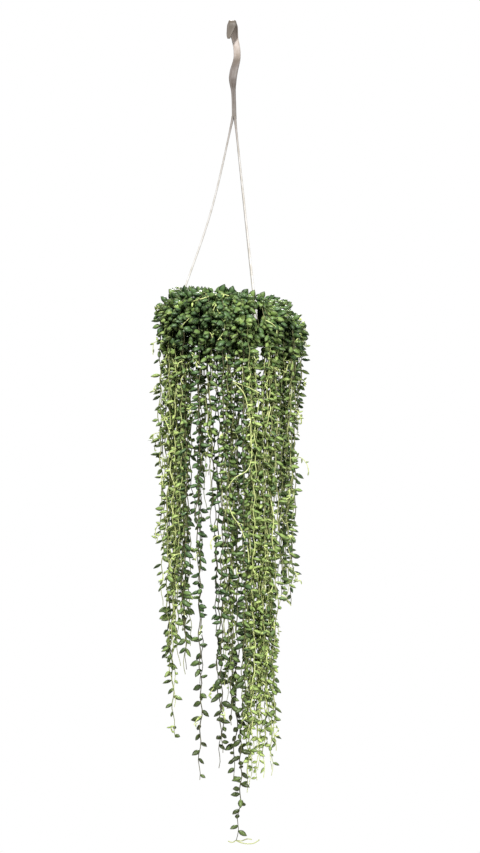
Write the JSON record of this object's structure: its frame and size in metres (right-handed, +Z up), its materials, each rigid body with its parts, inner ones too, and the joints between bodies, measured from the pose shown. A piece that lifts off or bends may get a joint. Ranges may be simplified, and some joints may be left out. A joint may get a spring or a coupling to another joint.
{
  "type": "hanging potted string of pearls",
  "caption": "Trailing bead-leaved succulent in a shallow dark plastic pot on a hooked three-strand plastic hanger.",
  "frame": {"origin": "inside top of the hanger's hook, where it sits on the bar, link or nail that carries it", "axes": "+Z up along the hanging plant, +X to the right and +Y away from the viewer of the picture"},
  "size_m": [0.2283, 0.2299, 1.2339],
  "materials": {
    "pot": "dark moulded plastic, satin",
    "soil": "loose dark potting mix",
    "hanger": "beige-grey moulded plastic, satin",
    "crown": "waxy dark green leaves",
    "foliage": "waxy mid-green leaves on pale thin stems"
  },
  "bodies": {
    "root": {"pot": "pot", "soil": "soil", "hanger": "hanger", "crown": "crown", "stem_01": "foliage", "stem_02": "foliage", "stem_03": "foliage", "stem_04": "foliage", "stem_05": "foliage", "stem_06": "foliage", "stem_07": "foliage", "stem_08": "foliage", "stem_09": "foliage", "stem_10": "foliage", "stem_11": "foliage", "stem_12": "foliage", "stem_13": "foliage", "stem_14": "foliage", "stem_15": "foliage", "stem_16": "foliage", "stem_17": "foliage", "stem_18": "foliage", "stem_19": "foliage", "stem_20": "foliage", "stem_21": "foliage", "stem_22": "foliage", "stem_23": "foliage", "stem_24": "foliage", "stem_25": "foliage", "stem_26": "foliage", "stem_27": "foliage", "stem_28": "foliage", "stem_29": "foliage", "stem_30": "foliage", "stem_31": "foliage", "stem_32": "foliage", "stem_33": "foliage", "stem_34": "foliage", "stem_35": "foliage", "stem_36": "foliage", "stem_37": "foliage", "stem_38": "foliage", "stem_39": "foliage", "stem_40": "foliage", "stem_41": "foliage", "stem_42": "foliage", "stem_43": "foliage", "stem_44": "foliage"}
  },
  "joints": []
}
